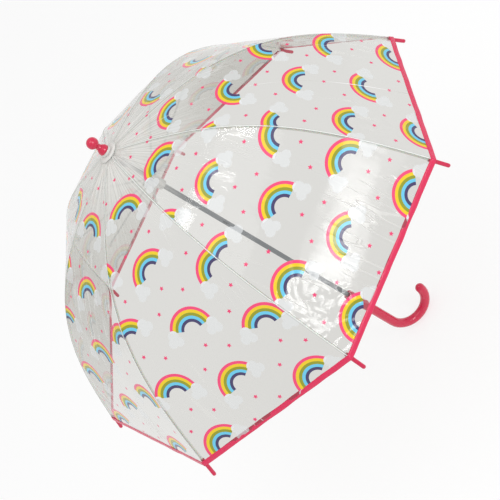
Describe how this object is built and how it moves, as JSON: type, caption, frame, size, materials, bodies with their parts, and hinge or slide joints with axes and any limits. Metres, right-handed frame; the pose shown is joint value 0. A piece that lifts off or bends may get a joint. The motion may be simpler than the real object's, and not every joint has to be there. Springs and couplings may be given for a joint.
{
  "type": "dome umbrella",
  "caption": "Small open dome umbrella with a clear printed canopy, straight pink hem, ribs and stretchers on a sliding runner, and a hooked pink handle.",
  "frame": {"origin": "middle of the straight part of the hand grip, on the axis of the shaft", "axes": "+Z along the shaft towards the crown, +X towards the open side of the handle's hook"},
  "size_m": [0.721, 0.721, 0.6578],
  "materials": {
    "steel_tube": "satin plated steel tube",
    "spring_steel": "bright spring steel",
    "zinc_wire": "zinc plated",
    "pink_gloss": "glossy moulded plastic",
    "pale_plastic": "satin moulded plastic",
    "dark_plastic": "satin moulded plastic",
    "fibre_rib": "white glass fibre",
    "clear_film": "clear printed soft sheet",
    "pink_binding": "soft pink binding strip"
  },
  "bodies": {
    "root": {"shaft_tube": "steel_tube", "handle_crook": "pink_gloss", "finial": "pink_gloss", "crown_washer": "pale_plastic", "crown_film": "clear_film", "top_notch": "pale_plastic", "notch_wire": "zinc_wire", "shaft_stop": "dark_plastic"},
    "runner": {"runner": "pale_plastic"},
    "top_catch": {"top_catch": "spring_steel"},
    "bottom_catch": {"bottom_catch": "spring_steel"},
    "rib_1": {"rib_1": "fibre_rib", "tip_cap_1": "pink_gloss", "joint_rivet_1": "zinc_wire", "canopy_film_1": "clear_film", "hem_binding_1": "pink_binding"},
    "stretcher_1": {"stretcher_1": "zinc_wire"},
    "rib_2": {"rib_2": "fibre_rib", "tip_cap_2": "pink_gloss", "joint_rivet_2": "zinc_wire", "canopy_film_2": "clear_film", "hem_binding_2": "pink_binding"},
    "stretcher_2": {"stretcher_2": "zinc_wire"},
    "rib_3": {"rib_3": "fibre_rib", "tip_cap_3": "pink_gloss", "joint_rivet_3": "zinc_wire", "canopy_film_3": "clear_film", "hem_binding_3": "pink_binding"},
    "stretcher_3": {"stretcher_3": "zinc_wire"},
    "rib_4": {"rib_4": "fibre_rib", "tip_cap_4": "pink_gloss", "joint_rivet_4": "zinc_wire", "canopy_film_4": "clear_film", "hem_binding_4": "pink_binding"},
    "stretcher_4": {"stretcher_4": "zinc_wire"},
    "rib_5": {"rib_5": "fibre_rib", "tip_cap_5": "pink_gloss", "joint_rivet_5": "zinc_wire", "canopy_film_5": "clear_film", "hem_binding_5": "pink_binding"},
    "stretcher_5": {"stretcher_5": "zinc_wire"},
    "rib_6": {"rib_6": "fibre_rib", "tip_cap_6": "pink_gloss", "joint_rivet_6": "zinc_wire", "canopy_film_6": "clear_film", "hem_binding_6": "pink_binding"},
    "stretcher_6": {"stretcher_6": "zinc_wire"},
    "rib_7": {"rib_7": "fibre_rib", "tip_cap_7": "pink_gloss", "joint_rivet_7": "zinc_wire", "canopy_film_7": "clear_film", "hem_binding_7": "pink_binding"},
    "stretcher_7": {"stretcher_7": "zinc_wire"},
    "rib_8": {"rib_8": "fibre_rib", "tip_cap_8": "pink_gloss", "joint_rivet_8": "zinc_wire", "canopy_film_8": "clear_film", "hem_binding_8": "pink_binding"},
    "stretcher_8": {"stretcher_8": "zinc_wire"}
  },
  "joints": [
    {"name": "canopy_fold", "type": "hinge", "parent": "root", "child": "rib_1", "pos_m": [0.01, 0, 0.5238], "axis": [0, 1, 0], "range_deg": [0, 47], "deforming": ["canopy_film_1", "hem_binding_1"]},
    {"name": "rib_2_fold", "type": "hinge", "parent": "root", "child": "rib_2", "pos_m": [0.00707, 0.00707, 0.5238], "axis": [-0.7071, 0.7071, 0], "range_deg": [0, 47.5], "deforming": ["canopy_film_2", "hem_binding_2"]},
    {"name": "rib_3_fold", "type": "hinge", "parent": "root", "child": "rib_3", "pos_m": [0, 0.01, 0.5238], "axis": [-1, 0, 0], "range_deg": [0, 47.5], "deforming": ["canopy_film_3", "hem_binding_3"]},
    {"name": "rib_4_fold", "type": "hinge", "parent": "root", "child": "rib_4", "pos_m": [-0.00707, 0.00707, 0.5238], "axis": [-0.7071, -0.7071, 0], "range_deg": [0, 47.5], "deforming": ["canopy_film_4", "hem_binding_4"]},
    {"name": "rib_5_fold", "type": "hinge", "parent": "root", "child": "rib_5", "pos_m": [-0.01, 0, 0.5238], "axis": [0, -1, 0], "range_deg": [0, 47.5], "deforming": ["canopy_film_5", "hem_binding_5"]},
    {"name": "rib_6_fold", "type": "hinge", "parent": "root", "child": "rib_6", "pos_m": [-0.00707, -0.00707, 0.5238], "axis": [0.7071, -0.7071, 0], "range_deg": [0, 47.5], "deforming": ["canopy_film_6", "hem_binding_6"]},
    {"name": "rib_7_fold", "type": "hinge", "parent": "root", "child": "rib_7", "pos_m": [0, -0.01, 0.5238], "axis": [1, 0, 0], "range_deg": [0, 47.5], "deforming": ["canopy_film_7", "hem_binding_7"]},
    {"name": "rib_8_fold", "type": "hinge", "parent": "root", "child": "rib_8", "pos_m": [0.00707, -0.00707, 0.5238], "axis": [0.7071, 0.7071, 0], "range_deg": [0, 47.5], "deforming": ["canopy_film_8", "hem_binding_8"]},
    {"name": "stretcher_1_fold", "type": "hinge", "parent": "rib_1", "child": "stretcher_1", "pos_m": [0.12641, 0, 0.48883], "axis": [0, -1, 0], "range_deg": [0, 95]},
    {"name": "stretcher_2_fold", "type": "hinge", "parent": "rib_2", "child": "stretcher_2", "pos_m": [0.08938, 0.08938, 0.48883], "axis": [0.7071, -0.7071, 0], "range_deg": [0, 95]},
    {"name": "stretcher_3_fold", "type": "hinge", "parent": "rib_3", "child": "stretcher_3", "pos_m": [0, 0.12641, 0.48883], "axis": [1, 0, 0], "range_deg": [0, 95]},
    {"name": "stretcher_4_fold", "type": "hinge", "parent": "rib_4", "child": "stretcher_4", "pos_m": [-0.08938, 0.08938, 0.48883], "axis": [0.7071, 0.7071, 0], "range_deg": [0, 95]},
    {"name": "stretcher_5_fold", "type": "hinge", "parent": "rib_5", "child": "stretcher_5", "pos_m": [-0.12641, 0, 0.48883], "axis": [0, 1, 0], "range_deg": [0, 95]},
    {"name": "stretcher_6_fold", "type": "hinge", "parent": "rib_6", "child": "stretcher_6", "pos_m": [-0.08938, -0.08938, 0.48883], "axis": [-0.7071, 0.7071, 0], "range_deg": [0, 95]},
    {"name": "stretcher_7_fold", "type": "hinge", "parent": "rib_7", "child": "stretcher_7", "pos_m": [0, -0.12641, 0.48883], "axis": [-1, 0, 0], "range_deg": [0, 95]},
    {"name": "stretcher_8_fold", "type": "hinge", "parent": "rib_8", "child": "stretcher_8", "pos_m": [0.08938, -0.08938, 0.48883], "axis": [-0.7071, -0.7071, 0], "range_deg": [0, 95]},
    {"name": "runner_slide", "type": "slide", "parent": "root", "child": "runner", "axis": [0, 0, -1], "range_m": [0, 0.14823]},
    {"name": "top_catch_press", "type": "slide", "parent": "root", "child": "top_catch", "axis": [0, 1, 0], "range_m": [0, 0.0022], "stiffness_N_per_m": 300},
    {"name": "bottom_catch_press", "type": "slide", "parent": "root", "child": "bottom_catch", "axis": [0, 1, 0], "range_m": [0, 0.0022], "stiffness_N_per_m": 300}
  ],
  "couplings": [
    {"joint": "rib_2_fold", "follows": "canopy_fold", "ratio": 1},
    {"joint": "rib_3_fold", "follows": "canopy_fold", "ratio": 1},
    {"joint": "rib_4_fold", "follows": "canopy_fold", "ratio": 1},
    {"joint": "rib_5_fold", "follows": "canopy_fold", "ratio": 1},
    {"joint": "rib_6_fold", "follows": "canopy_fold", "ratio": 1},
    {"joint": "rib_7_fold", "follows": "canopy_fold", "ratio": 1},
    {"joint": "rib_8_fold", "follows": "canopy_fold", "ratio": 1},
    {"joint": "stretcher_1_fold", "follows": "canopy_fold", "ratio": 2},
    {"joint": "stretcher_2_fold", "follows": "canopy_fold", "ratio": 2},
    {"joint": "stretcher_3_fold", "follows": "canopy_fold", "ratio": 2},
    {"joint": "stretcher_4_fold", "follows": "canopy_fold", "ratio": 2},
    {"joint": "stretcher_5_fold", "follows": "canopy_fold", "ratio": 2},
    {"joint": "stretcher_6_fold", "follows": "canopy_fold", "ratio": 2},
    {"joint": "stretcher_7_fold", "follows": "canopy_fold", "ratio": 2},
    {"joint": "stretcher_8_fold", "follows": "canopy_fold", "ratio": 2},
    {"joint": "runner_slide", "follows": "canopy_fold", "m_per_rad": 0.18046}
  ]
}
